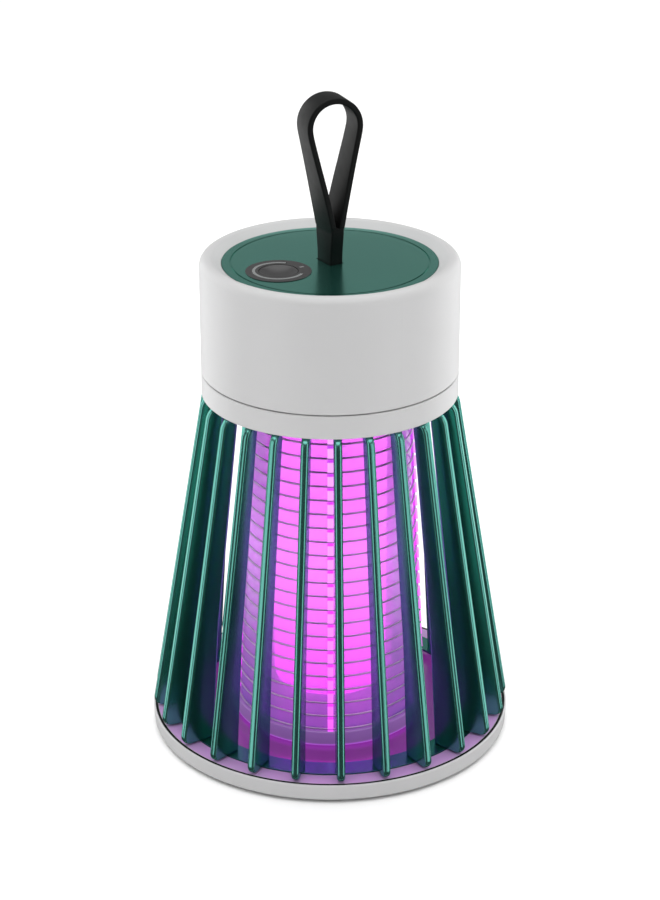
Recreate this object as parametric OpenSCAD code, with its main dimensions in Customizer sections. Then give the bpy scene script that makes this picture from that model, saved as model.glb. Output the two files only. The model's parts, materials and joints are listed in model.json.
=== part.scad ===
// Electric insect zapper: a conical cage of upright fins on a white twist-off base,
// a white cap that holds the electronics, a wire grid wound round a lamp, and a carry strap.
// Origin: centre of the underside of the rubber feet. +Z up, power button towards -Y.

/* [Base and tray] */
// Outer radius of the white base
base_r = 63.1; // [62.8:0.1:63.6]
// Height of the base's top face above the table
base_top_z = 6.9; // [6.8:0.05:7]
// Inner radius of the base's raised rim
base_rim_r = 56; // [55.95:0.05:56.5]
// Thickness of the base's floor plate
base_plate_t = 2.2; // [1.6:0.1:2.2]
// Standing height of the rubber feet
foot_h = 1.2; // [1:0.1:1.2]
// Radius of a rubber foot
foot_r = 5; // [3:0.5:6]
// Radius of the circle that the feet stand on
foot_circle_r = 50; // [44:1:52]
// Outer radius of the insect tray
tray_r = 47.9; // [46:0.1:47.9]
// Radius of the base's central pivot boss
pivot_r = 6; // [4:0.5:6]

/* [Cage] */
// Number of upright fins
fin_count = 25; // [15:1:25]
// Thickness of a fin
fin_t = 2.7; // [1.8:0.1:3]
// Radius of the fins' outer edge at the foot
fin_out_foot = 63.3; // [62:0.1:64]
// How much the outer edge leans in per millimetre of height
fin_lean_out = 0.168; // [0.16:0.002:0.17]
// Radius of the fins' inner edge at the foot
fin_in_foot = 50.6; // [50:0.1:51]
// Radius of the fins' inner edge halfway up
fin_in_mid = 47.4; // [46:0.1:48]
// Radius of the fins' inner edge at the top
fin_in_top = 38.2; // [37:0.1:39]
// Radius of the fins' lower outer corner
fin_foot_round = 3; // [2:0.5:4]
// Radius of the fins' upper outer corner
fin_top_round = 6; // [4:0.5:7]

/* [Cap] */
// Outer radius of the cap
cap_r = 43.6; // [43:0.1:44]
// Height of the cap's lower edge
cap_z = 124.7; // [124:0.1:125]
// Height of the seam between the skirt and the shell
seam_z = 133; // [132:0.5:134]
// Height of the cap's rim
rim_z = 172.9; // [172.5:0.1:173.5]
// Wall thickness of the cap
cap_wall = 2.2; // [1.8:0.1:2.3]
// Radius of the green top plate
plate_r = 36.1; // [35.5:0.1:36.1]
// Height of the top plate's upper face
plate_z = 170.9; // [170.5:0.1:171]

/* [Button] */
// Distance of the button from the axis
button_y = 20; // [19:0.5:21]
// Radius of the black bezel
bezel_r = 10.9; // [10:0.1:11]
// Radius of the button's dish
button_r = 6.4; // [5.5:0.1:6.4]
// Travel of the button
button_travel = 0.8; // [0.4:0.1:0.8]

/* [Grid and lamp] */
// Number of grid wires
wire_count = 23; // [10:1:23]
// Height between two wires
wire_pitch = 5; // [4:0.1:5]
// Height of the lowest wire
wire_low_z = 11.4; // [11.4:0.1:12]
// Wire thickness
wire_d = 0.7; // [0.6:0.1:1]
// Radius of the wire circle at the foot
wire_r_low = 32.6; // [31:0.1:33]
// Radius of the wire circle at the top
wire_r_top = 27.6; // [27:0.1:28]
// Direction of the first comb post
post_turn = -32; // [-40:1:40]
// Outer radius of the lamp tube
lamp_r = 22; // [18:0.5:23]
// Height of the lamp tube's lower end
lamp_z = 16; // [14:0.5:30]

/* [Strap] */
// Width of the strap's loop
strap_w = 10.5; // [9:0.5:10.5]
// Width of the strap at the plate
foot_w = 8.6; // [8:0.1:9]
// Thickness of the strap
strap_t = 2; // [1.4:0.1:2]
// Height of the top of the loop
strap_top_z = 227.5; // [215:0.5:235]
// Thickness of the solid stem under the loop
stem_t = 4.8; // [4.4:0.1:4.8]
// Outer width of the loop
loop_w = 19.6; // [18:0.2:20]

/* [Hidden] */

$fn = 96;
gap = 0.3;          // running gap between bodies
slip = 0.05;        // slip fit between pieces of one body
eps = 0.1;          // overrun of a cut

// base and bayonet
plate_top = foot_h + base_plate_t;
ring_z = plate_top + gap;
ring_top = 7.3;
ring_out = base_rim_r - gap;
lug_in = 54.2;
lug_z = 5.0;
lug_h = 1.0;
lug_half = 6;
twist = 25;
lug_turns = [20, 140, 260];
key_w = 6.4;
tray_floor_t = 1.0;
tray_rim_t = 1.2;
tray_top = 6.8;
hub_r = 8.5;

// direction in which the light guide's open ring has its gap
mark_turn = 84.5;

// black rubber ring let into the base's rim
gasket_in = 61.7;
gasket_out = 62.5;
gasket_h = 0.6;

// fins
ring_in = 48.3;
fin_mid_z = 50;
fin_out_z = 8.1;
fin_lean = atan(fin_lean_out);
fin_top_arc_z = cap_z - fin_top_round * sin(60);

// cap
ring_out_top = cap_r - cap_wall - 0.1;
top_ring_t = 3;
lamp_hole_r = 24;
chassis_z = cap_z + top_ring_t;
chassis_t = 2.2;
chassis_top = chassis_z + chassis_t;
cap_in_r = cap_r - cap_wall;
spigot_t = 1.5;
spigot_top = seam_z + 4;
rim_round = 3;
ledge_in = 33;
plate_t = 2.4;
plate_under = plate_z - plate_t;
screw_turns = [50.4, 136.8, 223.2, 324];
screw_circle = 36;

// boards
board_t = 1.6;
control_z = 160;
control_posts = [[13, -27.5], [-13, -27.5], [13, -12], [-13, -12]];
driver_z = 134.1;
driver_posts = [[17, -24.5], [-17, -24.5], [17, -9.5], [-17, -9.5]];
usb_z = 142.2;
usb_h = 3.2;
usb_w = 9;

// battery
cell_r = 9.2;
cell_l = 65.2;
cell_y = 8;
cell_z = chassis_top + 1.3 + cell_r;

// strap
pivot_z = 172.8;
anchor_z = 163.5;
pin_r = 1.5;
loop_r = loop_w / 2;
loop_z = strap_top_z - loop_r;
fork_z = plate_z + 12.4;

function wire_r(z) = wire_r_low + (wire_r_top - wire_r_low) * (z - wire_low_z) / 110;
function wire_z(i) = wire_low_z + i * wire_pitch;
function fin_out(z) = fin_out_foot - fin_lean_out * (z - fin_out_z);
function arc(x, z, r, a0, a1, n) =
    [for (i = [0 : n]) [x + r * cos(a0 + (a1 - a0) * i / n), z + r * sin(a0 + (a1 - a0) * i / n)]];

module ring(r_in, r_out, z0, z1) {
    translate([0, 0, z0]) difference() {
        cylinder(r = r_out, h = z1 - z0);
        translate([0, 0, -eps]) cylinder(r = r_in, h = z1 - z0 + 2 * eps);
    }
}

module block(x0, x1, y0, y1, z0, z1) {
    translate([x0, y0, z0]) cube([x1 - x0, y1 - y0, z1 - z0]);
}

module around(turns) {
    for (a = turns) rotate([0, 0, a]) children();
}

// part of a ring between two angles
module sector(r_in, r_out, z0, z1, a0, a1) {
    rotate([0, 0, a0]) rotate_extrude(angle = a1 - a0)
        translate([r_in, z0]) square([r_out - r_in, z1 - z0]);
}

// slot with round ends, lying along X and pointing along Y
module stadium(w, h, y0, y1, z) {
    for (s = [-1, 1]) translate([s * (w - h) / 2, y0, z]) rotate([-90, 0, 0])
        cylinder(r = h / 2, h = y1 - y0, $fn = 48);
    block(-(w - h) / 2, (w - h) / 2, y0, y1, z - h / 2, z + h / 2);
}

// ---------------------------------------------------------------- cap

// Shell: outer wall, rolled rim, ledge for the top plate, four screw bosses
module cap_shell() {
    rim_r = cap_r - rim_round;
    wall_top = plate_under - 0.1;
    color("whitesmoke") difference() {
        union() {
            rotate_extrude($fn = 180) polygon(concat(
                [[cap_in_r, seam_z + 0.2], [cap_r - 0.3, seam_z + 0.2], [cap_r, seam_z + 0.5]],
                arc(rim_r, rim_z - rim_round, rim_round, 0, 125, 14),
                [[plate_r + 0.15, plate_z - 0.2], [plate_r + 0.15, wall_top], [ledge_in, wall_top],
                 [ledge_in, wall_top - 1.5], [cap_in_r, wall_top - 1.5]]));
            around(screw_turns) {
                translate([screw_circle, 0, chassis_top + 0.1]) cylinder(r = 3.2, h = 20);
                block(screw_circle, cap_in_r + 0.3, -1, 1, spigot_top + 0.3, chassis_top + 20);
            }
        }
        around(screw_turns) translate([screw_circle, 0, chassis_top]) cylinder(r = 1.35, h = 12);
        stadium(usb_w + 0.4, usb_h + 0.4, cap_in_r - 3, cap_r + 1, usb_z);
    }
}

// Skirt: the band under the seam, with a spigot that the shell slides over
module cap_skirt() {
    spigot_out = cap_in_r - 0.1;
    color("whitesmoke") rotate_extrude($fn = 180) polygon([
        [cap_in_r, cap_z], [cap_r - 0.4, cap_z], [cap_r, cap_z + 0.4], [cap_r, seam_z - 0.5],
        [cap_r - 0.3, seam_z - 0.2], [spigot_out, seam_z - 0.2], [spigot_out, spigot_top],
        [spigot_out - spigot_t, spigot_top], [spigot_out - spigot_t, chassis_top + 0.1],
        [cap_in_r, chassis_top + 0.1]]);
}

// Green plate with the strap slot, the button hole, posts for the board and ears for the pin
module top_plate() {
    groove_r = plate_r * 0.918;
    color("seagreen") difference() {
        union() {
            translate([0, 0, plate_under]) cylinder(r = plate_r, h = plate_t, $fn = 180);
            for (p = control_posts) translate([p[0], p[1], control_z])
                cylinder(r = 2.4, h = plate_under - control_z, $fn = 32);
            for (s = [-1, 1]) translate([s * 6.7, 0, 0])
                block(-1.1, 1.1, -3.5, 3.5, anchor_z - 3, plate_under);
        }
        block(-foot_w / 2 - 0.25, foot_w / 2 + 0.25, -stem_t / 2 - 0.25, stem_t / 2 + 0.25,
              plate_under - eps, plate_z + eps);
        translate([0, -button_y, plate_under - eps]) cylinder(r = 9.2, h = plate_t + 2 * eps);
        translate([0, -button_y, plate_z - 1.5]) cylinder(r = bezel_r + slip, h = 2);
        ring(groove_r - 0.25, groove_r + 0.25, plate_z - 0.5, plate_z + eps);
        for (p = control_posts) translate([p[0], p[1], control_z - eps])
            cylinder(r = 1.05, h = 6, $fn = 32);
        translate([-10, 0, anchor_z]) rotate([0, 90, 0]) cylinder(r = pin_r + slip, h = 20, $fn = 48);
    }
}

// Black bezel: flange on the plate, barrel that guides the button
module button_bezel() {
    color("black") translate([0, -button_y, 0]) difference() {
        union() {
            translate([0, 0, plate_z - 1.5]) cylinder(r = bezel_r, h = 1.7);
            translate([0, 0, 165]) cylinder(r = 9.1, h = plate_z - 1.5 - 165 + eps);
        }
        translate([0, 0, 165 - eps]) cylinder(r = 7.8, h = 3 + eps);
        translate([0, 0, 164]) cylinder(r = button_r + 0.2, h = 10);
        sector(7.65, 8.75, plate_z - 0.6, plate_z + 1, mark_turn + 45, mark_turn + 315);
        rotate(mark_turn) block(7.65, 9.25, -0.5, 0.5, plate_z - 0.6, plate_z + 1);
    }
}

// Light guide set in the bezel: an open ring and a short bar in its gap
module status_light_ring() {
    color("lightgray") translate([0, -button_y, 0]) {
        sector(7.7, 8.7, plate_z - 0.6, plate_z + 0.25, mark_turn + 47, mark_turn + 313);
        rotate(mark_turn) block(7.7, 9.2, -0.45, 0.45, plate_z - 0.6, plate_z + 0.25);
    }
}

module power_button() {
    dish_r = 15;
    top = plate_z + 0.1;
    color("dimgray") translate([0, -button_y, 0]) difference() {
        union() {
            translate([0, 0, 166.2]) cylinder(r = button_r, h = top - 166.2);
            translate([0, 0, 166.2]) cylinder(r = 7.5, h = 1.5);
            translate([0, 0, control_z + 2.4]) cylinder(r = 2, h = 4, $fn = 48);
        }
        translate([0, 0, top + dish_r - 1.4]) sphere(r = dish_r, $fn = 120);
    }
}

// ---------------------------------------------------------------- cage

module cage_top_ring() {
    color("darkslategray") difference() {
        ring(lamp_hole_r, ring_out_top, cap_z, chassis_z);
        around(screw_turns) translate([screw_circle, 0, cap_z - eps]) {
            cylinder(r = 3, h = 1.6 + eps, $fn = 48);
            cylinder(r = 1.6, h = 4, $fn = 48);
        }
    }
}

// One fin in the XZ plane: flat foot, round lower corner, straight lean, round upper corner
module fin() {
    foot_arc_z = ring_top + fin_foot_round;
    foot_arc_r = fin_out(foot_arc_z) - fin_foot_round / cos(fin_lean);
    top_arc_r = fin_out(fin_top_arc_z) - fin_top_round / cos(fin_lean);
    rotate([90, 0, 0]) linear_extrude(fin_t, center = true) polygon(concat(
        [[fin_in_mid, fin_mid_z], [fin_in_foot, ring_top]],
        arc(foot_arc_r, foot_arc_z, fin_foot_round, -90, fin_lean, 10),
        arc(top_arc_r, fin_top_arc_z, fin_top_round, fin_lean, 60, 6),
        [[fin_in_top, cap_z]]));
}

module cage_fins() {
    color("seagreen") around([for (k = [0 : fin_count - 1]) k * 360 / fin_count]) fin();
}

// Ring that joins the fins' feet, with three bayonet grooves outside and two key notches inside
module cage_bottom_ring() {
    color("darkslategray") difference() {
        ring(ring_in, ring_out, ring_z, ring_top);
        around(lug_turns) {
            sector(lug_in - gap, ring_out + 1, lug_z - gap, lug_z + lug_h + gap,
                   -lug_half - 2, twist + lug_half + 2);
            sector(lug_in - gap, ring_out + 1, ring_z - eps, lug_z + lug_h + gap,
                   -lug_half - 2, lug_half + 2);
        }
        for (s = [-1, 1]) block(s * 49.3 - 1.4, s * 49.3 + 1.4, -key_w / 2 - gap, key_w / 2 + gap,
                                ring_z - eps, 6.5);
    }
}

// ---------------------------------------------------------------- grid and lamp

module wire_loops(first) {
    for (i = [first : 2 : wire_count - 1]) translate([0, 0, wire_z(i)])
        rotate_extrude($fn = 120) translate([wire_r(wire_z(i)), 0]) circle(r = wire_d / 2, $fn = 24);
}

module grid_wires_live() {
    color("silver") wire_loops(0);
}

module grid_wires_return() {
    color("lightgray") wire_loops(1);
}

// Four combs that hold the wires apart
module grid_comb_posts() {
    z0 = 10.8;
    notch = wire_d / 2 + slip;
    drop = 1.4;
    teeth = [for (i = [0 : wire_count - 1])
        let (z = wire_z(i), r = wire_r(z), low = max(z - drop, z0 + 0.1))
        each [[r + 0.95, low], [r - notch, low], [r - notch, z + notch], [r + 0.95, z + notch]]];
    color("plum") around([for (k = [0 : 3]) post_turn + 90 * k])
        rotate([90, 0, 0]) linear_extrude(2, center = true) polygon(concat(
            [[wire_r(z0) - 0.75, z0], [wire_r(z0) + 0.95, z0]], teeth,
            [[wire_r(cap_z) + 0.95, cap_z], [wire_r(cap_z) - 0.75, cap_z]]));
}

// Cup that closes the foot of the grid and carries the posts
module grid_base_ring() {
    color("plum") rotate_extrude($fn = 120) polygon([
        [0, 9.3], [30, 9.3], [30, 5.4], [33.6, 5.4], [33.9, 5.7], [33.9, 10.5], [33.6, 10.8], [0, 10.8]]);
}

// Translucent cone just inside the wires
module lamp_diffuser() {
    wall = 1.2;
    low = wire_r(10.8) - 0.8;
    high = wire_r(cap_z) - 0.8;
    color("violet") rotate_extrude($fn = 120) polygon([
        [low - wall, 10.8], [low, 10.8], [high, cap_z], [high - wall, cap_z]]);
}

// Frosted tube with a domed lower end
module lamp_tube() {
    wall = 1.5;
    corner = 4;
    color("magenta") rotate_extrude($fn = 120) polygon(concat(
        [[0, lamp_z]], arc(lamp_r - corner, lamp_z + corner, corner, -90, 0, 8),
        [[lamp_r, chassis_z], [lamp_r - wall, chassis_z]],
        arc(lamp_r - corner, lamp_z + corner, corner - wall, 0, -90, 8), [[0, lamp_z + wall]]));
}

module led_column() {
    color("gainsboro") block(-6.5, 6.5, -6.5, 6.5, lamp_z + 3, chassis_z);
}

module uv_leds() {
    color("mediumpurple") around([0, 90, 180, 270]) for (i = [0 : 6])
        block(6.5, 7.5, -1.75, 1.75, lamp_z + 8 + i * 14, lamp_z + 11.5 + i * 14);
}

// ---------------------------------------------------------------- inside the cap

// Floor of the cap: posts for the driver board and the USB board, screw holes
module chassis_plate() {
    color("gainsboro") difference() {
        union() {
            translate([0, 0, chassis_z]) cylinder(r = cap_in_r - 0.2, h = chassis_t);
            for (p = driver_posts) translate([p[0], p[1], chassis_z])
                cylinder(r = 2.2, h = driver_z - board_t - chassis_z, $fn = 32);
            for (s = [-1, 1]) translate([s * 5, 30.5, chassis_z])
                cylinder(r = 2, h = usb_z - usb_h / 2 - board_t - chassis_z, $fn = 32);
        }
        around(screw_turns) translate([screw_circle, 0, chassis_z - eps])
            cylinder(r = 1.6, h = chassis_t + 2 * eps, $fn = 48);
        for (p = driver_posts) translate([p[0], p[1], chassis_z + 0.8])
            cylinder(r = 1.05, h = 6, $fn = 32);
    }
}

module board(x, y0, y1, top, holes) {
    difference() {
        block(-x, x, y0, y1, top - board_t, top);
        for (p = holes) translate([p[0], p[1], top - 2 * board_t]) cylinder(r = 1.15, h = 5, $fn = 32);
    }
}

module control_board() {
    color("green") board(16, -31, -8.5, control_z, control_posts);
}

module driver_board() {
    color("green") board(20, -27, -7, driver_z, driver_posts);
}

module usb_board() {
    color("green") board(7, 28, 39.6, usb_z - usb_h / 2, []);
}

module transformer() {
    color("goldenrod") {
        block(-14, -2, -24, -10, driver_z, driver_z + 3);
        block(-12, -4, -22.5, -11.5, driver_z + 3, driver_z + 9);
        block(-14, -2, -24, -10, driver_z + 9, driver_z + 12);
    }
}

module capacitor() {
    color("steelblue") block(3, 13, -20, -13.5, driver_z, driver_z + 10);
}

module tact_switch() {
    color("dimgray") {
        block(-3, 3, -button_y - 3, -button_y + 3, control_z, control_z + 1.1);
        translate([0, -button_y, control_z + 1]) cylinder(r = 1.7, h = 0.5, $fn = 32);
    }
}

module status_leds() {
    color("lightyellow") for (s = [-1, 1])
        block(s * 8.2 - 1, s * 8.2 + 1, -button_y - 1, -button_y + 1, control_z, control_z + 1);
}

module battery_cell() {
    color("royalblue") translate([0, cell_y, cell_z]) rotate([0, 90, 0]) {
        translate([0, 0, -cell_l / 2]) cylinder(r = cell_r, h = cell_l);
        cylinder(r = 3, h = cell_l / 2 + 0.8, $fn = 48);
    }
}

module battery_cradle() {
    wall_x = cell_l / 2 + 1;
    color("black") difference() {
        union() {
            block(-wall_x - 1.7, wall_x + 1.7, cell_y - 6, cell_y + 6, chassis_top, chassis_top + 1.2);
            for (s = [-1, 1]) {
                translate([s * (wall_x + 0.85), 0, 0])
                    block(-0.85, 0.85, cell_y - 6, cell_y + 6, chassis_top + 1, cell_z + 6);
                translate([s * 20, 0, 0])
                    block(-2, 2, cell_y - 8, cell_y + 8, chassis_top, chassis_top + 6);
            }
        }
        translate([-cell_l / 2 - 0.5, cell_y, cell_z]) rotate([0, 90, 0])
            cylinder(r = cell_r + slip, h = cell_l + 1);
    }
}

// Metal inlet with its tongue, opening towards +Y through the shell
module usb_socket() {
    color("silver") {
        difference() {
            stadium(usb_w, usb_h, 35.6, cap_r - 0.4, usb_z);
            stadium(usb_w - 0.6, usb_h - 0.6, 37, cap_r + 1, usb_z);
        }
        block(-3.2, 3.2, 36.5, cap_r - 1.4, usb_z - 0.35, usb_z + 0.35);
    }
}

// ---------------------------------------------------------------- fasteners

// Pan-head screw: shaft along +Z from the head's underside at the origin
module pan_screw(head_r, head_h, shaft_r, shaft_l) {
    translate([0, 0, -head_h]) difference() {
        cylinder(r = head_r, h = head_h, $fn = 48);
        for (a = [0, 90]) rotate([0, 0, a])
            block(-head_r * 0.6, head_r * 0.6, -0.3, 0.3, -eps, head_h * 0.5);
    }
    translate([0, 0, -eps]) cylinder(r = shaft_r, h = shaft_l + eps, $fn = 32);
}

module board_screws() {
    color("silver") {
        for (p = control_posts) translate([p[0], p[1], control_z - board_t])
            pan_screw(2, 1.2, 1, 6);
        for (p = driver_posts) translate([p[0], p[1], driver_z]) mirror([0, 0, 1])
            pan_screw(2, 1.2, 1, 4.5);
    }
}

module cap_screws() {
    color("silver") around(screw_turns) translate([screw_circle, 0, cap_z + 1.6])
        pan_screw(2.8, 1.5, 1.3, 14);
}

module strap_anchor_pin() {
    color("silver") translate([-9, 0, anchor_z]) rotate([0, 90, 0]) cylinder(r = pin_r, h = 18, $fn = 48);
}

// ---------------------------------------------------------------- strap

// Part of the strap inside the cap: both ends folded round the pin
module strap_root() {
    top = pivot_z - stem_t / 2 - gap;
    color("black") difference() {
        union() {
            block(-foot_w / 2, foot_w / 2, -stem_t / 2, stem_t / 2, anchor_z, top);
            translate([-foot_w / 2, 0, anchor_z]) rotate([0, 90, 0])
                cylinder(r = pin_r + slip + strap_t, h = foot_w, $fn = 64);
        }
        translate([-foot_w, 0, anchor_z]) rotate([0, 90, 0])
            cylinder(r = pin_r + slip, h = 2 * foot_w, $fn = 48);
    }
}

// Head of the loop in (y, z): a round top and flanks that run straight to the points (+-half, foot)
module loop_outline(head, half, foot, neck) {
    // angle at which a straight flank from the foot corner touches the head circle
    reach = norm([half, loop_z - foot]);
    touch = acos(head / reach) - atan2(half, loop_z - foot);
    side = arc(0, loop_z, head, touch - 90, 90, 16);
    polygon(concat([[half, neck], [half, foot]], side,
                   [for (i = [len(side) - 2 : -1 : 0]) [-side[i][0], side[i][1]]],
                   [[-half, foot], [-half, neck]]));
}

// Moving part of the strap, bending about a line along X just above the plate
module carry_strap() {
    color("black") intersection() {
        difference() {
            union() {
                rotate([90, 0, 90]) linear_extrude(strap_w, center = true)
                    loop_outline(loop_r, stem_t / 2, fork_z - 1, pivot_z);
                translate([-strap_w / 2, 0, pivot_z]) rotate([0, 90, 0])
                    cylinder(r = stem_t / 2, h = strap_w, $fn = 64);
            }
            rotate([90, 0, 90]) linear_extrude(strap_w + 2, center = true)
                loop_outline(loop_r - strap_t, 0.4, fork_z + 0.5, fork_z);
        }
        rotate([90, 0, 0]) linear_extrude(2 * loop_w, center = true) polygon([
            [foot_w / 2, pivot_z - stem_t], [foot_w / 2, plate_z + 3], [strap_w / 2, fork_z],
            [strap_w / 2, strap_top_z + 1], [-strap_w / 2, strap_top_z + 1],
            [-strap_w / 2, fork_z], [-foot_w / 2, plate_z + 3], [-foot_w / 2, pivot_z - stem_t]]);
    }
}

// ---------------------------------------------------------------- tray and base

// Tray: floor, rim, central hub, two keys that keep it from turning in the cage
module insect_tray() {
    color("darkslategray") difference() {
        union() {
            translate([0, 0, ring_z]) cylinder(r = tray_r, h = tray_floor_t);
            ring(tray_r - tray_rim_t, tray_r, ring_z, tray_top);
            translate([0, 0, ring_z]) cylinder(r = hub_r, h = tray_top - ring_z);
            for (s = [-1, 1]) block(s * 48.9 - 1.4, s * 48.9 + 1.4, -key_w / 2, key_w / 2, ring_z, 6.2);
        }
        translate([0, 0, ring_z - eps]) cylinder(r = pivot_r + 0.08, h = 5);
    }
}

// Base: floor plate, raised rim, three lugs, pivot boss and foot recesses
module base_ring() {
    edge = 0.7;
    lip = 0.4;
    color("whitesmoke") difference() {
        union() {
            rotate_extrude($fn = 180) polygon(concat(
                [[0, foot_h]], arc(base_r - 0.2 - edge, foot_h + edge, edge, -90, 0, 5),
                arc(base_r - lip, base_top_z - lip, lip, 0, 90, 4),
                [[base_rim_r, base_top_z], [base_rim_r, plate_top], [0, plate_top]]));
            around(lug_turns) sector(lug_in, base_rim_r + 1, lug_z, lug_z + lug_h, -lug_half, lug_half);
            translate([0, 0, plate_top - eps]) cylinder(r = pivot_r, h = tray_top + gap - plate_top + eps);
        }
        around([0, 90, 180, 270]) translate([foot_circle_r, 0, foot_h - eps])
            cylinder(r = foot_r + slip, h = 0.6 + eps);
        translate([0, 0, foot_h + 1]) cylinder(r = 1.55, h = 8, $fn = 48);
        ring(gasket_in - slip, gasket_out + slip, base_top_z - gasket_h, base_top_z + eps);
    }
}

module base_gasket() {
    color("black") ring(gasket_in, gasket_out, base_top_z - gasket_h, base_top_z + slip);
}

module rubber_feet() {
    color("black") around([0, 90, 180, 270]) translate([foot_circle_r, 0, 0])
        cylinder(r = foot_r, h = foot_h + 0.6);
}

// Screw whose flange keeps the tray on the pivot boss
module pivot_screw() {
    color("silver") translate([0, 0, tray_top + gap]) mirror([0, 0, 1])
        pan_screw(7.8, 1.2, 1.5, 4.4);
}

cap_shell();
cap_skirt();
top_plate();
button_bezel();
status_light_ring();
cage_top_ring();
cage_fins();
cage_bottom_ring();
grid_wires_live();
grid_wires_return();
grid_comb_posts();
grid_base_ring();
lamp_diffuser();
lamp_tube();
led_column();
uv_leds();
chassis_plate();
control_board();
driver_board();
transformer();
capacitor();
tact_switch();
status_leds();
battery_cell();
battery_cradle();
usb_board();
usb_socket();
board_screws();
cap_screws();
strap_anchor_pin();
strap_root();
power_button();
carry_strap();
insect_tray();
base_ring();
base_gasket();
rubber_feet();
pivot_screw();
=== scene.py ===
# %% [markdown]
# # An insect zapper, built round a finished CAD frame
# The frame brings every moulded part at its real size. This lesson gives those parts their finishes, and
# makes new surfaces where the real lamp has shapes that plain CAD solids only hint at: fins with soft
# edges, a bent silicone strap and glowing plastic. Everything is in metres.

# %% Load the frame
import json
import math

import bpy
import numpy as np
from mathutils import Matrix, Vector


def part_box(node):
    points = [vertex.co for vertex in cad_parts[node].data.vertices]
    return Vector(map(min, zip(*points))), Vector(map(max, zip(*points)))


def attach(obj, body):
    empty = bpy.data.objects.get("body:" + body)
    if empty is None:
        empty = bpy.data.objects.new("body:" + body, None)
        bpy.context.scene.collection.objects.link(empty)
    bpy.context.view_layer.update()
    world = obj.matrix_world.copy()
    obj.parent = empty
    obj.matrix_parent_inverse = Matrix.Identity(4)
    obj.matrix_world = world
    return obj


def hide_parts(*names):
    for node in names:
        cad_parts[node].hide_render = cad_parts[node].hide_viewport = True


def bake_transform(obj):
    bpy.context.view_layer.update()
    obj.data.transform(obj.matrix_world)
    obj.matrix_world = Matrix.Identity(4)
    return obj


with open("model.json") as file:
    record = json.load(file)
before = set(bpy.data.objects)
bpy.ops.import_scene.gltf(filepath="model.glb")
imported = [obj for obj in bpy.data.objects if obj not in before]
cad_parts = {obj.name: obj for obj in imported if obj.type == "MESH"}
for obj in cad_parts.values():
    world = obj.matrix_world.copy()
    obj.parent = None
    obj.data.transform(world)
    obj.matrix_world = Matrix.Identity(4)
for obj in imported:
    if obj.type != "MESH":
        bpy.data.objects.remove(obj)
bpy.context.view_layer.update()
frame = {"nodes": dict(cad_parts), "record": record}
nodes = frame["nodes"]
MM = 0.001

# %% [markdown]
# ## Driving dimensions
# A few sizes are read from the frame's boxes, so that the new surfaces keep to the CAD if it changes.

# %% Read the sizes
plate_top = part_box("top_plate")[1].z
cap_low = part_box("cap_skirt")[0].z
strap_low, strap_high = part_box("carry_strap")
pin_low, pin_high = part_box("strap_anchor_pin")
fin_low, fin_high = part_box("cage_fins")
lamp_low, lamp_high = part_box("lamp_tube")
print("plate top", round(plate_top, 4), "strap top", round(strap_high.z, 4))

# %% [markdown]
# ## The camera
# A long lens from a little above, level with no shift, so that upright edges stay nearly upright. The
# direction is measured from the front, where the button is.

# %% Camera
VIEW_TURN = math.radians(57.7)
VIEW_TILT = math.radians(23.32)
VIEW_DISTANCE = 0.8254
VIEW_HEIGHT = 0.10243
LENS_PER_SENSOR = 2402.28 / 900

camera_data = bpy.data.cameras.new("camera")
camera_data.sensor_width = 36
camera_data.lens = LENS_PER_SENSOR * camera_data.sensor_width
camera = bpy.data.objects.new("camera", camera_data)
bpy.context.scene.collection.objects.link(camera)
camera.location = (
    VIEW_DISTANCE * math.cos(VIEW_TILT) * math.sin(VIEW_TURN),
    -VIEW_DISTANCE * math.cos(VIEW_TILT) * math.cos(VIEW_TURN),
    VIEW_HEIGHT + VIEW_DISTANCE * math.sin(VIEW_TILT),
)
camera.rotation_euler = (math.pi / 2 - VIEW_TILT, 0, VIEW_TURN)
bpy.context.scene.camera = camera
print("camera lens", round(camera_data.lens, 2), "mm at", [round(c, 3) for c in camera.location])

# %% [markdown]
# ## Studio
# A sun as wide as a ceiling, straight above, makes the floor white and touches upright walls only a little.
# Two tall soft boxes stand in front at either side of the camera, and two more stand at the far sides.
# Between them the camera's own direction stays dim, so a glossy round edge shows two bright lines with a
# dark one between. They reach below the floor, because the leaning fins mirror what is just under the
# horizon. A last one behind the lamp shines across the top plate, and the strap's reflection lies in it.

# %% World and lights
scene = bpy.context.scene
scene.view_settings.view_transform = "Standard"
world = bpy.data.worlds.new("studio")
world.use_nodes = True
world.node_tree.nodes["Background"].inputs["Color"].default_value = (1.0, 1.0, 1.0, 1.0)
world.node_tree.nodes["Background"].inputs["Strength"].default_value = 0.085
scene.world = world


def soft_box(name, turn, tilt, distance, width, height, power):
    """Area light on a sphere round the lamp, aimed at its middle. Turn is from the front, towards +X."""
    data = bpy.data.lights.new(name, "AREA")
    data.shape = "RECTANGLE"
    data.size = width
    data.size_y = height
    data.energy = power
    light = bpy.data.objects.new(name, data)
    scene.collection.objects.link(light)
    turn, tilt = math.radians(turn), math.radians(tilt)
    light.location = (
        distance * math.cos(tilt) * math.sin(turn),
        -distance * math.cos(tilt) * math.cos(turn),
        VIEW_HEIGHT + distance * math.sin(tilt),
    )
    light.rotation_euler = (math.pi / 2 - tilt, 0, turn)


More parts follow.
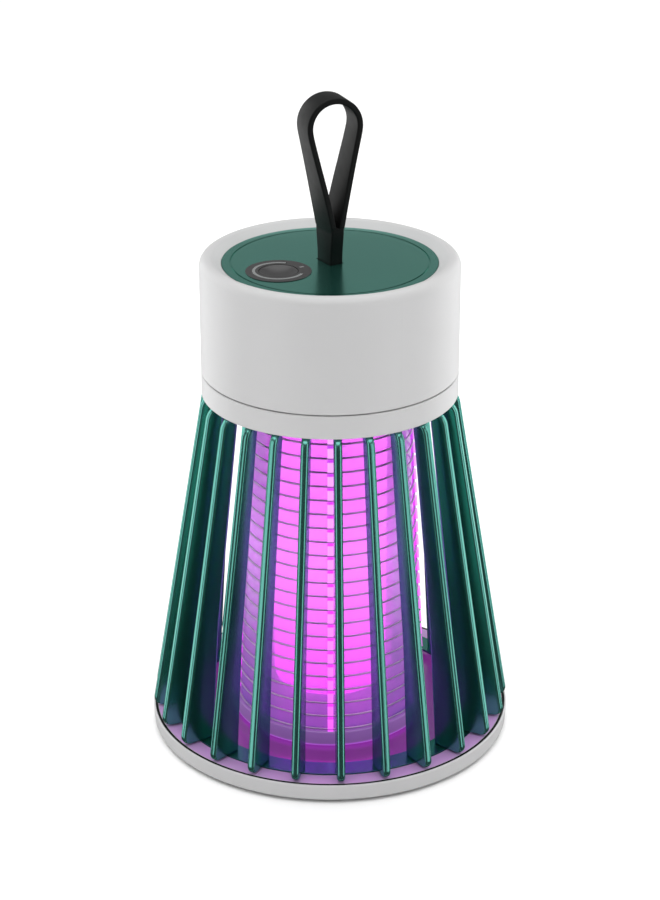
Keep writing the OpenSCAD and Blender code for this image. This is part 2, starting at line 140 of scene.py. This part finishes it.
sun_data = bpy.data.lights.new("ceiling", "SUN")
sun_data.energy = 3.15
sun_data.angle = math.radians(90)
sun = bpy.data.objects.new("ceiling", sun_data)
scene.collection.objects.link(sun)
view_degrees = math.degrees(VIEW_TURN)
BOX_DISTANCE, BOX_HEIGHT, BOX_TILT = 0.62, 0.75, 2
for side, name in ((-1, "left"), (1, "right")):
    soft_box("front_" + name, view_degrees + side * 50, BOX_TILT, BOX_DISTANCE, 0.40, BOX_HEIGHT, 1.35)
    soft_box("side_" + name, view_degrees + side * 123, BOX_TILT, BOX_DISTANCE, 0.74, BOX_HEIGHT, 3.1)
soft_box("rear", view_degrees + 180, 26, 1.2, 1.4, 0.8, 0.9)

# %% [markdown]
# ## Shader maths in plain expressions
# Node trees read better as formulas. A small class wraps an output socket, so that adding or multiplying
# two of them makes the Math node. Any other node comes from one method of the material's own class.


# %% Shader helper classes
class Value:
    """A number carried by a socket. Arithmetic on it adds Math nodes to its material."""

    def __init__(self, finish, socket):
        self.finish = finish
        self.socket = socket

    def _math(self, operation, first, second):
        return self.finish.node("Math", {"operation": operation}, {0: first, 1: second})

    def __add__(self, other):
        return self._math("ADD", self, other)

    __radd__ = __add__

    def __sub__(self, other):
        return self._math("SUBTRACT", self, other)

    def __rsub__(self, other):
        return self._math("SUBTRACT", other, self)

    def __mul__(self, other):
        return self._math("MULTIPLY", self, other)

    __rmul__ = __mul__

    def __truediv__(self, other):
        return self._math("DIVIDE", self, other)

    def __pow__(self, other):
        return self._math("POWER", self, other)

    def above(self, edge, width):
        """0 below edge and 1 from edge + width on, with a straight slope between."""
        return self.finish.node("MapRange", {"clamp": True}, {0: self, 1: edge, 2: edge + width})


class Finish:
    """A Principled material. Constants sit on its sockets, and node() adds what varies."""

    def __init__(self, name, constants):
        self.material = bpy.data.materials.new(name)
        self.material.use_nodes = True
        self.tree = self.material.node_tree
        self.shader = self.tree.nodes["Principled BSDF"]
        for socket, value in constants.items():
            self.shader.inputs[socket].default_value = value

    def node(self, kind, settings, inputs, output=0):
        """Adds one node: its settings first, then the values or links of its sockets."""
        made = self.tree.nodes.new("ShaderNode" + kind)
        for key, value in settings.items():
            if key == "stops":
                self._stops(made.color_ramp, value)
            else:
                setattr(made, key, value)
        for key, value in inputs.items():
            self.plug(made.inputs[key], value)
        return Value(self, made.outputs[output])

    def _stops(self, ramp, stops):
        while len(ramp.elements) < len(stops):
            ramp.elements.new(0.5)
        for element, (place, colour) in zip(ramp.elements, stops):
            element.position = place
            element.color = (*colour, 1.0)

    def plug(self, socket, value):
        if isinstance(value, Value):
            self.tree.links.new(value.socket, socket)
        else:
            socket.default_value = value

    def feed(self, socket, value):
        """Links a varying value to a socket of the Principled shader."""
        self.plug(self.shader.inputs[socket], value)

    def place(self):
        return self.node("TexCoord", {}, {}, "Object")

    def axis(self, which):
        return self.node("SeparateXYZ", {}, {0: self.place()}, which)

    def radius(self):
        """Distance from the lamp's upright axis: the square root of x squared plus y squared."""
        return (self.axis("X") ** 2.0 + self.axis("Y") ** 2.0) ** 0.5

    def noise(self, size, detail=2.0, roughness=0.5, vector=None):
        """Soft random field whose lumps are about size metres across."""
        return self.node("TexNoise", {}, {"Vector": vector or self.place(), "Scale": 1 / size,
                                          "Detail": detail, "Roughness": roughness}, 0)

    def between(self, factor, low, high):
        """Colour mixed from low to high, each a triple or a colour made by another node."""
        ends = [end if isinstance(end, Value) else (*end, 1) for end in (low, high)]
        return self.node("Mix", {"data_type": "RGBA"}, {0: factor, 6: ends[0], 7: ends[1]}, 2)

    def bump(self, height, depth):
        """Raises the surface by height, from 0 to 1, times depth metres."""
        self.feed("Normal", self.node("Bump", {}, {"Height": height, "Distance": depth,
                                                    "Strength": 1.0}))

    def ramp(self, value, stops):
        return self.node("ValToRGB", {"stops": stops}, {0: value})


print("shader helpers ready")

# %% [markdown]
# ## Moulded plastics
# The cap and base are satin ABS. Up close such a wall has a fine spark-eroded grain and is a touch
# uneven in gloss. The cage is the same plastic in a deep glossy green, where sink marks and flow make
# slow waves in the shine: its base colour is nearly black and a high IOR with a green tint gives it its
# look. The top plate has a metallic green lacquer instead. The base's deck, inside the gasket, has
# painted lamp light: a mask on radius and height tints it lilac. Grain is bump, gloss is roughness.


# %% Plastics
def moulded(name, low, high, gloss, spread, grain, depth, **constants):
    """Moulded plastic: slow colour drift from low to high, gloss drift and fine grain."""
    finish = Finish(name, {"IOR": 1.5, **constants})
    finish.colour = finish.between(finish.noise(0.035, 3.0), low, high)
    finish.feed("Base Color", finish.colour)
    finish.feed("Roughness", gloss + spread * (finish.noise(0.004, 4.0) - 0.5))
    finish.bump(finish.noise(grain, 2.0, 0.6), depth)
    return finish


WHITE = ((0.515, 0.515, 0.517), (0.545, 0.545, 0.547), 0.44, 0.08, 0.0005, 0.000012)
white_plastic = moulded("white_satin_abs", *WHITE)
base_plastic = moulded("white_satin_base_painted_lamp_light", *WHITE)
# Painted lamp light: a mask on radius and height tints the deck inside the gasket lilac, as the lamp's glow
# would light it.
DECK_R, DECK_Z = 61.6 * MM, 5.5 * MM
painted_lamp_light_mask = base_plastic.radius().above(DECK_R, -0.2 * MM) * base_plastic.axis("Z").above(DECK_Z, MM)
base_plastic.feed("Base Color", base_plastic.between(painted_lamp_light_mask, base_plastic.colour, (0.54, 0.34, 0.62)))
green_plastic = moulded("green_gloss_abs", (0.0030, 0.020, 0.016), (0.0042, 0.025, 0.020), 0.22, 0.05,
                        0.003, 0.000002, **{"IOR": 3.7, "Specular Tint": (0.32, 1.0, 0.86, 1.0)})
plate_plastic = moulded("green_metallic_plate", (0.064, 0.33, 0.26), (0.072, 0.35, 0.28),
                        0.22, 0.05, 0.0006, 0.000003, **{"Metallic": 0.95})
# Painted lamp light: the tray is no lamp, yet a faint violet emission makes it glow as if the lamp lit it.
tray_plastic_painted_glow = moulded("tray_gloss_abs_painted_glow", (0.06, 0.014, 0.08), (0.08, 0.020, 0.10),
                       0.22, 0.06, 0.002, 0.000004, **{"IOR": 2.6, "Emission Strength": 1.0})
tray_plastic_painted_glow.feed("Emission Color", tray_plastic_painted_glow.between(tray_plastic_painted_glow.noise(0.01), (0.085, 0.004, 0.10),
                                                         (0.12, 0.006, 0.14)))
black_plastic = moulded("grey_black_satin_abs", (0.018, 0.0175, 0.018), (0.027, 0.026, 0.027),
                        0.36, 0.08, 0.0005, 0.000008)
grey_plastic = moulded("grey_inner_abs", (0.42, 0.42, 0.42), (0.50, 0.50, 0.50),
                       0.5, 0.10, 0.0006, 0.00002)
guide_plastic = moulded("grey_light_guide", (0.17, 0.18, 0.18), (0.22, 0.23, 0.23),
                        0.22, 0.08, 0.0006, 0.000005, **{"Coat Weight": 0.3, "Coat Roughness": 0.1})
print("plastics", len(bpy.data.materials))

# %% [markdown]
# ## Rubber, silicone and metal
# The strap is silicone, nearly black with a dry sheen and a little dust in its grain. Screws and wire are
# nickel plated, drawn or turned, so fine streaks follow the way they were worked. The grid wire's violet
# tint is a painted reflection of the lamp's light.


# %% Rubber and metal
def rubbery(name, low, high, gloss, grain, depth):
    """Dull rubber: a low IOR, a trace of sheen, mottled colour and a dry grain."""
    finish = Finish(name, {"IOR": 1.22, "Sheen Weight": 0.008, "Sheen Roughness": 0.4})
    finish.feed("Base Color", finish.between(finish.noise(0.006, 5.0), low, high))
    finish.feed("Roughness", gloss + 0.14 * (finish.noise(0.003, 3.0) - 0.5))
    finish.bump(finish.noise(grain, 3.0, 0.6), depth)
    return finish


def worked_metal(name, low, high, gloss, stretch):
    """Metal with streaks: noise stretched by a Mapping node along the working direction."""
    finish = Finish(name, {"Metallic": 1.0})
    streak = finish.node("Mapping", {}, {"Vector": finish.place(), "Scale": stretch})
    marks = finish.noise(0.001, 4.0, 0.6, streak)
    finish.feed("Base Color", finish.between(marks, low, high))
    finish.feed("Roughness", gloss + 0.2 * (marks - 0.5))
    finish.bump(marks, 0.000006)
    return finish


silicone = rubbery("black_silicone", (0.0025, 0.0028, 0.0028), (0.0045, 0.005, 0.005), 0.5,
                   0.0007, 0.000012)
foot_rubber = rubbery("foot_rubber", (0.006, 0.007, 0.007), (0.014, 0.015, 0.015), 0.7, 0.0008, 0.00003)
plated_steel = worked_metal("nickel_plated_steel", (0.52, 0.52, 0.53), (0.72, 0.72, 0.73), 0.28, (1, 1, 3))
# Painted reflection: the grid wire's violet tint stands in for the lamp's light mirrored in the metal.
grid_wire_painted_reflection = worked_metal("grid_wire_painted_reflection", (0.42, 0.30, 0.48), (0.60, 0.46, 0.66), 0.34, (1, 1, 1))
print("soft and metal finishes", len(bpy.data.materials))

# %% [markdown]
# ## Light inside
# The lamp is a frosted tube with LEDs in it. The glow is Emission Color with a constant strength. Just
# inside the wires is a frosted cone, partly clear, so the tube shows through; its glow is painted lamp
# light, an emission that stands in for the light it catches.
# Red and blue are well above what a picture can show, so the lamp looks pale while it lights its
# surroundings violet. Height along the lamp, from 0 at its foot to 1 under the cap, drives every ramp.
# The comb posts lean with the wires. They carry painted lamp light: they glow bright on the face where the
# wires lie, and painted shade makes them deep in the notches between. A mask on the radius at that height
# tells the two apart.


# %% Glowing finishes
def frosted(name, strength, alpha, gloss):
    """Lit plastic with a fine frost, a constant strength and a constant alpha."""
    finish = Finish(name, {"Emission Strength": strength, "Alpha": alpha, "Roughness": gloss,
                           "Base Color": (0.30, 0.12, 0.34, 1)})
    finish.bump(finish.noise(0.0012, 2.0), 0.00001)
    return finish


def rise(finish, low, high):
    """Height as a share: 0 at low and 1 at high."""
    return (finish.axis("Z") - low) / (high - low)


def glowing(name, stops, low, high, strength, alpha, gloss):
    """Frosted plastic whose emission follows the height, a little mottled."""
    finish = frosted(name, strength, alpha, gloss)
    mottled = rise(finish, low, high) + 0.05 * (finish.noise(0.006, 3.0) - 0.5)
    finish.feed("Emission Color", finish.ramp(mottled, stops))
    return finish


liner_finish = glowing("lamp_liner_glow",
                       [(0.0, (1.0, 0.015, 0.95)), (0.22, (1.0, 0.035, 0.95)), (0.42, (1.0, 0.11, 0.97)),
                        (0.6, (1.0, 0.18, 1.0)), (1.0, (1.0, 0.18, 1.0))],
                       lamp_low.z, cap_low, 6.0, 1.0, 0.5)
lamp_finish = glowing("lamp_tube_glow",
                      [(0.0, (0.6, 0.01, 0.9)), (0.12, (1.0, 0.03, 0.95)), (1.0, (1.0, 0.05, 0.92))],
                      lamp_low.z, cap_low, 1.2, 0.30, 0.4)
# Painted lamp light: the cone's emission is dark at its foot and top and brightest a little above mid height.
cone_finish = glowing("diffuser_cone_painted_glow",
                      [(0.0, (0.045, 0.035, 0.17)), (0.12, (0.09, 0.06, 0.20)), (0.35, (0.20, 0.13, 0.33)),
                       (0.55, (0.36, 0.15, 0.50)), (0.72, (0.16, 0.06, 0.27)), (1.0, (0.08, 0.03, 0.16))],
                      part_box("lamp_diffuser")[0].z, cap_low, 1.0, 0.55, 0.35)
# Painted lamp light: the comb posts are no lamp, yet they glow, with painted shade in the notches.
comb_finish = frosted("comb_post_painted_glow", 1.0, 1.0, 0.35)
comb_height = rise(comb_finish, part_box("grid_comb_posts")[0].z, cap_low)
notch_painted_shade_glow = comb_finish.ramp(comb_height, [(0.0, (0.8, 0.03, 0.9)), (0.5, (0.9, 0.03, 1.0)),
                                              (1.0, (0.36, 0.03, 0.62))])
face_painted_light_glow = comb_finish.ramp(comb_height, [(0.0, (0.9, 0.10, 0.95)), (0.4, (0.95, 0.26, 0.95)),
                                             (1.0, (0.90, 0.40, 0.92))])
WIRE_R, WIRE_Z, WIRE_LEAN = 32.6 * MM, 11.4 * MM, 5.0 / 110.0
upright_r = comb_finish.radius() + WIRE_LEAN * (comb_finish.axis("Z") - WIRE_Z)
painted_light_face_mask = upright_r.above(WIRE_R + 0.1 * MM, 0.2 * MM)
# Painted light and shade: the lit face gets the bright glow, the notches the deeper one.
comb_finish.feed("Emission Color", comb_finish.between(painted_light_face_mask, notch_painted_shade_glow, face_painted_light_glow))
# Painted lamp light on the hoop: a bright violet band at its foot, dark above.
hoop_finish = glowing("grid_hoop_painted_glow",
                      [(0.0, (0.40, 0.08, 0.62)), (0.18, (0.06, 0.035, 0.13)), (1.0, (0.09, 0.05, 0.18))],
                      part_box("grid_base_ring")[0].z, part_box("grid_base_ring")[1].z, 1.0, 1.0, 0.3)
led_finish = glowing("uv_led_glow", [(0.0, (0.5, 0.2, 1.0)), (1.0, (0.6, 0.3, 1.0))],
                     0.0, cap_low, 2.0, 1.0, 0.3)
print("glowing finishes ready")

# %% [markdown]
# ## Parts inside the cap
# Boards are green lacquer with faint copper tracks under it, the transformer is taped ferrite, the cell
# has a shrink sleeve. They are hidden until somebody opens the model.


# %% Electronics finishes
def lacquered_board(name):
    """Solder mask: a square grid of faint tracks, wave in X times wave in Y, under clear lacquer."""
    finish = Finish(name, {"Coat Weight": 0.5, "Coat Roughness": 0.1, "Roughness": 0.4})
    along = finish.node("TexWave", {"bands_direction": "X"}, {"Vector": finish.place(), "Scale": 90.0,
                                                              "Distortion": 1.5}, "Fac")
    across = finish.node("TexWave", {"bands_direction": "Y"}, {"Vector": finish.place(), "Scale": 70.0,
                                                               "Distortion": 1.0}, "Fac")
    tracks = along * across
    finish.feed("Base Color", finish.between(tracks, (0.005, 0.07, 0.02), (0.03, 0.22, 0.07)))
    finish.bump(tracks, 0.00003)
    return finish


board_finish = lacquered_board("green_solder_mask")
sleeve_finish = moulded("blue_shrink_sleeve", (0.02, 0.07, 0.32), (0.04, 0.11, 0.42), 0.3, 0.1, 0.002,
                        0.00002)
core_finish = moulded("taped_ferrite", (0.035, 0.03, 0.022), (0.09, 0.075, 0.04), 0.6, 0.2, 0.001, 0.00004)
film_finish = moulded("capacitor_case", (0.03, 0.12, 0.32), (0.05, 0.16, 0.38), 0.3, 0.1, 0.001, 0.00001)
print("inner finishes ready")

# %% [markdown]
# ## Finishes on the CAD parts
# The record names a material slot for each part, and one table turns slots into finishes. A few parts of
# the same slot look different on the real lamp, so a second table, by part name, goes first.

# %% Give every CAD node its finish
finish_of_slot = {
    "white_plastic": white_plastic, "green_plastic": green_plastic, "black_plastic": black_plastic,
    "light_guide": guide_plastic, "bare_wire": grid_wire_painted_reflection, "frosted_plastic": comb_finish,
    "diffuser": cone_finish, "lamp": lamp_finish, "grey_plastic": grey_plastic, "led": led_finish,
    "circuit_board": board_finish, "transformer_core": core_finish, "capacitor_case": film_finish,
    "cell_sleeve": sleeve_finish, "plated_steel": plated_steel, "black_silicone": silicone,
    "foot_rubber": foot_rubber,
}
finish_of_node = {"top_plate": plate_plastic, "grid_base_ring": hoop_finish, "base_ring": base_plastic,
                  "insect_tray": tray_plastic_painted_glow}
for part in frame["record"]["subparts"]:
    finish = finish_of_node.get(part["node"], finish_of_slot[part["material_slot"]])
    cad_mesh = nodes[part["node"]].data
    cad_mesh.materials.clear()
    cad_mesh.materials.append(finish.material)
print("finishes on", len(nodes), "nodes")

# %% [markdown]
# ## Turning arrays into surfaces
# A surface is a grid of points with one parameter along each side. The points are worked out as whole
# arrays, and the faces only link neighbours, so one function serves every new piece.


# %% Mesh helpers
def quads(rows, columns, close_rows, close_columns):
    """Indices of the faces of a grid whose point (i, j) has index i * columns + j."""
    i = np.arange(rows if close_rows else rows - 1)[:, None]
    j = np.arange(columns if close_columns else columns - 1)[None, :]
    i2, j2 = (i + 1) % rows, (j + 1) % columns
    corners = [i * columns + j, i * columns + j2, i2 * columns + j2, i2 * columns + j]
    return np.stack(np.broadcast_arrays(*corners), -1).reshape(-1, 4)


def make_mesh(name, points, faces, finish, sharp=None):
    """Smooth mesh object from points (n, 3) and faces, at the origin, with edges past an angle kept sharp."""
    mesh = bpy.data.meshes.new(name)
    mesh.from_pydata(points.tolist(), [], [list(map(int, f)) for f in faces])
    mesh.materials.append(finish.material)
    mesh.polygons.foreach_set("use_smooth", np.ones(len(mesh.polygons), bool))
    mesh.update()
    piece = bpy.data.objects.new(name, mesh)
    scene.collection.objects.link(piece)
    if sharp is not None:
        mesh.set_sharp_from_angle(angle=math.radians(sharp))
    print(name, len(mesh.vertices), "points,", len(mesh.polygons), "faces")
    return piece


# %% [markdown]
# ## The fins
# A moulded fin is a flat blade whose edges are rounded so it leaves the mould. That soft edge is what
# catches the light and draws two bright lines down each fin. The surface runs along the blade's outline
# in one direction and round its edge in the other. The flat sides close it as two large faces.


# %% Fins
FIN_COUNT = 25
FIN_T = 2.7
EDGE_ROUND = 1.0
OUTER_Z, OUTER_R, LEAN = 8.1, 63.3, 0.168
FOOT_ROUND, TOP_ROUND = 3.0, 6.0
INNER_FOOT, INNER_MIDDLE, INNER_TOP = 50.6, 47.4, 38.2
MIDDLE_Z = 50.0


def arc_points(centre, radius, start, end, count):
    """Points on a circle in the (r, z) plane, angles in degrees."""
    a = np.radians(np.linspace(start, end, count))
    return np.stack([centre[0] + radius * np.cos(a), centre[1] + radius * np.sin(a)], 1)


def straight(start, end, count):
    """Points on a line, without its last one."""
    t = np.linspace(0, 1, count, endpoint=False)[:, None]
    return np.array(start) * (1 - t) + np.array(end) * t


def outer_edge(z):
    """Radius of the leaning outer edge: OUTER_R - LEAN (z - OUTER_Z)."""
    return OUTER_R - LEAN * (z - OUTER_Z)


def fin_outline():
    """Closed outline of a blade in (r, z): foot, round corner, leaning edge, round top corner, inner edge."""
    lean = math.degrees(math.atan(LEAN))
    reach = 1 / math.cos(math.radians(lean))
    foot, top = fin_low.z / MM, fin_high.z / MM
    low_z = foot + FOOT_ROUND
    high_z = top - TOP_ROUND * math.sin(math.radians(60))
    corner = arc_points((outer_edge(low_z) - FOOT_ROUND * reach, low_z), FOOT_ROUND, -90, lean, 14)
    crown = arc_points((outer_edge(high_z) - TOP_ROUND * reach, high_z), TOP_ROUND, lean, 60, 10)
    return np.concatenate([
        straight((INNER_FOOT, foot), corner[0], 4), corner[:-1],
        straight(corner[-1], crown[0], 12), crown[:-1],
        straight(crown[-1], (INNER_TOP, top), 5),
        straight((INNER_TOP, top), (INNER_MIDDLE, MIDDLE_Z), 8),
        straight((INNER_MIDDLE, MIDDLE_Z), (INNER_FOOT, foot), 6)])


def unit(vectors):
    """Each row divided by its own length."""
    return vectors / np.linalg.norm(vectors, axis=1)[:, None]


def blade(outline):
    """Blade points: the outline is moved inwards by EDGE_ROUND * (1 - cos a) while the point goes
    round each long edge by angle a, so the section is a flat bar with quarter-round corners."""
    ahead = unit(np.roll(outline, -1, 0) - outline)
    tangent = unit(ahead + np.roll(ahead, 1, 0))
    inward = np.stack([-tangent[:, 1], tangent[:, 0]], 1)
    a = np.radians(np.linspace(90, 0, 8))
    inset = EDGE_ROUND * (1 - np.cos(a))
    side = FIN_T / 2 - EDGE_ROUND * (1 - np.sin(a))
    inset = np.concatenate([inset, inset[::-1]])
    side = np.concatenate([-side, side[::-1]])
    flat = outline[None] + inset[:, None, None] * inward[None]
    return np.stack([flat[..., 0], np.broadcast_to(side[:, None], flat.shape[:2]), flat[..., 1]], -1)


def turned(points, degrees):
    """Points turned about the Z axis."""
    a = math.radians(degrees)
    turn = np.array([[math.cos(a), math.sin(a), 0], [-math.sin(a), math.cos(a), 0], [0, 0, 1]])
    return points @ turn


blade_grid = blade(fin_outline())
rows, columns = blade_grid.shape[:2]
blade_faces = [list(f) for f in quads(rows, columns, False, True)[:, ::-1]]
blade_faces += [list(range(columns)), list(range((rows - 1) * columns, rows * columns))[::-1]]
fin_points = np.concatenate([turned(blade_grid.reshape(-1, 3), k * 360 / FIN_COUNT)
                             for k in range(FIN_COUNT)]) * MM
fin_faces = [[v + k * rows * columns for v in f] for k in range(FIN_COUNT) for f in blade_faces]
fins = make_mesh("cage_fins_soft_edged", fin_points, fin_faces, green_plastic, 40)
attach(fins, "housing")
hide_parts("cage_fins")

# %% [markdown]
# ## The lamp's inner light
# Inside the clear violet tube is a frosted liner that spreads the LEDs' light. It is a turned shape with
# shallow flutes round it: r = R + depth cos(n theta), closed on itself round the LED column. The tube
# stands a little outside it, which is why the lamp's edge looks deeper in colour than its middle.

# %% Lamp liner
LINER_R = 19.6
FLUTES, FLUTE_DEPTH = 48, 0.08
LINER_INSET = 1.2
liner_low, liner_high = lamp_low.z / MM + LINER_INSET, lamp_high.z / MM - LINER_INSET
HOLE_R = 9.0
bend = np.radians(np.linspace(0, 90, 6))
profile_r = np.concatenate([[HOLE_R], LINER_R - 1 + np.sin(bend), LINER_R - 1 + np.cos(bend), [HOLE_R]])
profile_z = np.concatenate([[liner_low], liner_low + 1 - np.cos(bend), liner_high - 1 + np.sin(bend),
                            [liner_high]])
ROUND_STEPS = 8 * FLUTES
theta = np.linspace(0, 2 * np.pi, ROUND_STEPS, endpoint=False)
flute = FLUTE_DEPTH * np.cos(FLUTES * theta)[None, :] * (profile_r > LINER_R - 0.01)[:, None]
rings = profile_r[:, None] + flute
liner_grid = np.stack([rings * np.cos(theta), rings * np.sin(theta),
                       np.broadcast_to(profile_z[:, None], rings.shape)], -1)
liner_faces = [list(f) for f in quads(len(profile_r), ROUND_STEPS, True, True)[:, ::-1]]
liner = make_mesh("lamp_liner", liner_grid.reshape(-1, 3) * MM, liner_faces, liner_finish)
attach(liner, "housing")

# %% [markdown]
# ## The strap
# One silicone moulding: an eye round the pin inside the cap, a solid stem through the slot, and a loop
# whose two leaves leave the stem at a notch. A bar section with soft corners is carried along each of
# them. The loop's middle line is a circle with its two tangents down to the notch, smoothed where they
# meet, and the loop turns a little on its way up, as a loose strap does.

# %% Strap sizes and helpers
STRAP_T, STEM_T, FOOT_W = 2.0, 4.8, 8.6
NOTCH_OVER_PLATE = 12.4
LOOP_TURN = -10.8
strap_w = (strap_high.x - strap_low.x) / MM
plate_z = plate_top / MM
pin_z = (pin_low.z + pin_high.z) / 2 / MM
eye_r = (pin_high.z - pin_low.z) / 2 / MM + 0.05 + STRAP_T / 2
loop_r = (strap_high.y - strap_low.y) / 2 / MM - STRAP_T / 2
fork_z = plate_z + NOTCH_OVER_PLATE
loop_z = strap_high.z / MM - STRAP_T / 2 - loop_r


def smooth_step(t):
    """0 to 1 with level ends: three t squared less two t cubed."""
    t = np.clip(t, 0, 1)
    return t * t * (3 - 2 * t)


def bar_section(width, thickness, radius, steps):
    """Closed section (across, out): a bar with round corners."""
    corners = []
    for sx, sy, start in ((1, 1, 0), (-1, 1, 90), (-1, -1, 180), (1, -1, 270)):
        a = np.radians(np.linspace(start, start + 90, steps))
        corners.append(np.stack([sx * (width / 2 - radius) + radius * np.cos(a),
                                 sy * (thickness / 2 - radius) + radius * np.sin(a)], 1))
    return np.concatenate(corners)


def carried(line, section, widths, closed):
    """Section carried along a line in (y, z): point = line + out * normal, across = x times its width."""
    ends = line if closed else np.concatenate([line[:1] * 2 - line[1:2], line, line[-1:] * 2 - line[-2:-1]])
    ahead = np.roll(ends, -1, 0) - np.roll(ends, 1, 0)
    ahead = unit(ahead if closed else ahead[1:-1])
    normal = np.stack([ahead[:, 1], -ahead[:, 0]], 1)
    grid = np.zeros((len(line), len(section), 3))
    grid[..., 0] = section[None, :, 0] * widths[:, None]
    grid[..., 1:] = line[:, None, :] + normal[:, None, :] * section[None, :, 1:2]
    return grid


def loop_line():
    """Middle line of the loop in (y, z): stem, tangent, half circle and back, evenly spaced and smoothed."""
    half, foot = STEM_T / 2 - STRAP_T / 2, fork_z - 1
    reach = math.hypot(half, loop_z - foot)
    touch = math.degrees(math.acos(loop_r / reach) - math.atan2(half, loop_z - foot)) - 90
    over = np.radians(np.linspace(touch, 90, 40))
    crown = np.stack([loop_r * np.cos(over), loop_z + loop_r * np.sin(over)], 1)
    right = np.concatenate([[[half - 0.1, fork_z - 5]], [[half - 0.05, foot]], crown])
    whole = np.concatenate([right, right[-2::-1] * [-1, 1]])
    length = np.concatenate([[0], np.cumsum(np.linalg.norm(np.diff(whole, axis=0), axis=1))])
    even = np.linspace(0, length[-1], 260)
    line = np.stack([np.interp(even, length, whole[:, k]) for k in (0, 1)], 1)
    for _ in range(6):
        line[2:-2] = (line[:-4] + line[1:-3] + line[2:-2] + line[3:-1] + line[4:]) / 5
    return line


print("strap: loop radius", round(loop_r, 2), "mm, notch at", round(fork_z, 1), "mm")

# %% [markdown]
# ## The strap's three shells
# The leaves, the stem and the eye are closed shells that overlap inside the stem, so no seam shows. The
# loop's turn starts at the notch above the plate: points below it keep their place, points above turn
# with the loop.

# %% Strap
leaf_line = loop_line()
in_stem = smooth_step((fork_z + 0.2 - leaf_line[:, 1]) / 1.2)
leaves = carried(leaf_line, bar_section(strap_w, STRAP_T, 0.5, 5), 1 - 0.12 * in_stem, False)
STEM_ROWS, EYE_ROWS, SLOT_LIP = 36, 48, 1.5
stem_z = np.linspace(pin_z + eye_r - 0.6, fork_z, STEM_ROWS)
stem_line = np.stack([np.zeros(STEM_ROWS), stem_z], 1)
taper = smooth_step((stem_z - plate_z - SLOT_LIP) / (NOTCH_OVER_PLATE - SLOT_LIP))
stem = carried(stem_line, bar_section(strap_w - 0.02, STEM_T, 0.6, 5),
               (FOOT_W + (strap_w - FOOT_W) * taper) / strap_w, False)
around = np.radians(np.linspace(-90, 270, EYE_ROWS, endpoint=False))
eye_line = np.stack([eye_r * np.cos(around), pin_z + eye_r * np.sin(around)], 1)
eye = carried(eye_line, bar_section(FOOT_W, STRAP_T, 0.5, 5), np.ones(EYE_ROWS), True)

turn = np.radians(LOOP_TURN) * smooth_step((leaves[..., 2] - fork_z) / (loop_z - fork_z))
x, y = leaves[..., 0].copy(), leaves[..., 1].copy()
leaves[..., 0] = x * np.cos(turn) - y * np.sin(turn)
leaves[..., 1] = x * np.sin(turn) + y * np.cos(turn)

strap_points, strap_faces, offset = [], [], 0
for grid, closed in ((leaves, False), (stem, False), (eye, True)):
    rows, columns = grid.shape[:2]
    faces = [list(f) for f in quads(rows, columns, closed, True)]
    if not closed:
        faces += [list(range(columns))[::-1], list(range((rows - 1) * columns, rows * columns))]
    strap_points.append(grid.reshape(-1, 3))
    strap_faces += [[v + offset for v in f] for f in faces]
    offset += rows * columns
strap = make_mesh("strap_band", np.concatenate(strap_points) * MM, strap_faces, silicone, 50)
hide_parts("carry_strap", "strap_root")
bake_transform(strap)

# %% [markdown]
# ## Floor
# A plain pale plane, far larger than the picture, so no edge or horizon is seen. It lights the lamp but
# isn't mirrored in it, as if a dark card kept the bright floor out of the glossy fins.

# %% Floor
floor_finish = Finish("pale_floor", {"Roughness": 0.6, "IOR": 1.3})
floor_finish.feed("Base Color", floor_finish.between(floor_finish.noise(0.5), (0.93, 0.93, 0.93),
                                                     (0.95, 0.95, 0.95)))
floor_mesh = bpy.data.meshes.new("floor")
floor_mesh.from_pydata([(-4, -4, 0), (4, -4, 0), (4, 4, 0), (-4, 4, 0)], [], [(0, 1, 2, 3)])
floor_mesh.materials.append(floor_finish.material)
floor = bpy.data.objects.new("floor", floor_mesh)
scene.collection.objects.link(floor)
floor.visible_glossy = False
